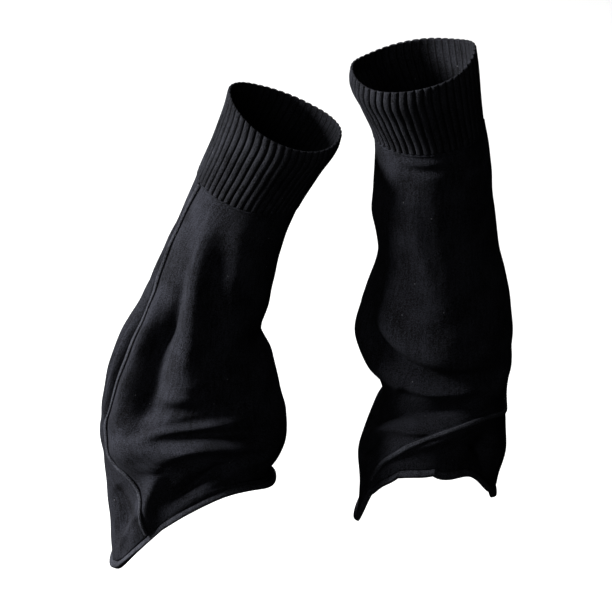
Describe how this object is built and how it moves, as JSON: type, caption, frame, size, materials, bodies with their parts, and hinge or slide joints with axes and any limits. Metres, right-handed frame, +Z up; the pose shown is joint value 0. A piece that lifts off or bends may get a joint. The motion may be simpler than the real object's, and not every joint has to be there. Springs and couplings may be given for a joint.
{
  "type": "pair of leg warmers",
  "caption": "Pair of knitted leg warmers with ribbed cuffs and a flared, slouching lower leg, in the hollow form they have when worn.",
  "frame": {"origin": "middle of the upright warmer's ribbed cuff, where the calf holds it", "axes": "+Z up, +X to the right as seen from the front, from the leaning warmer to the upright one, +Y to the back"},
  "size_m": [0.3731, 0.1674, 0.5084],
  "materials": {
    "rib_knit": "matte ribbed knit",
    "leg_knit": "matte plain knit",
    "seam_knit": "matte linked seam",
    "hem_knit": "matte turned knit hem"
  },
  "bodies": {
    "root": {"leaning_cuff": "rib_knit", "leaning_leg": "leg_knit", "leaning_side_seam": "seam_knit", "leaning_hem": "hem_knit", "upright_cuff": "rib_knit", "upright_leg": "leg_knit", "upright_side_seam": "seam_knit", "upright_hem": "hem_knit"}
  },
  "joints": []
}
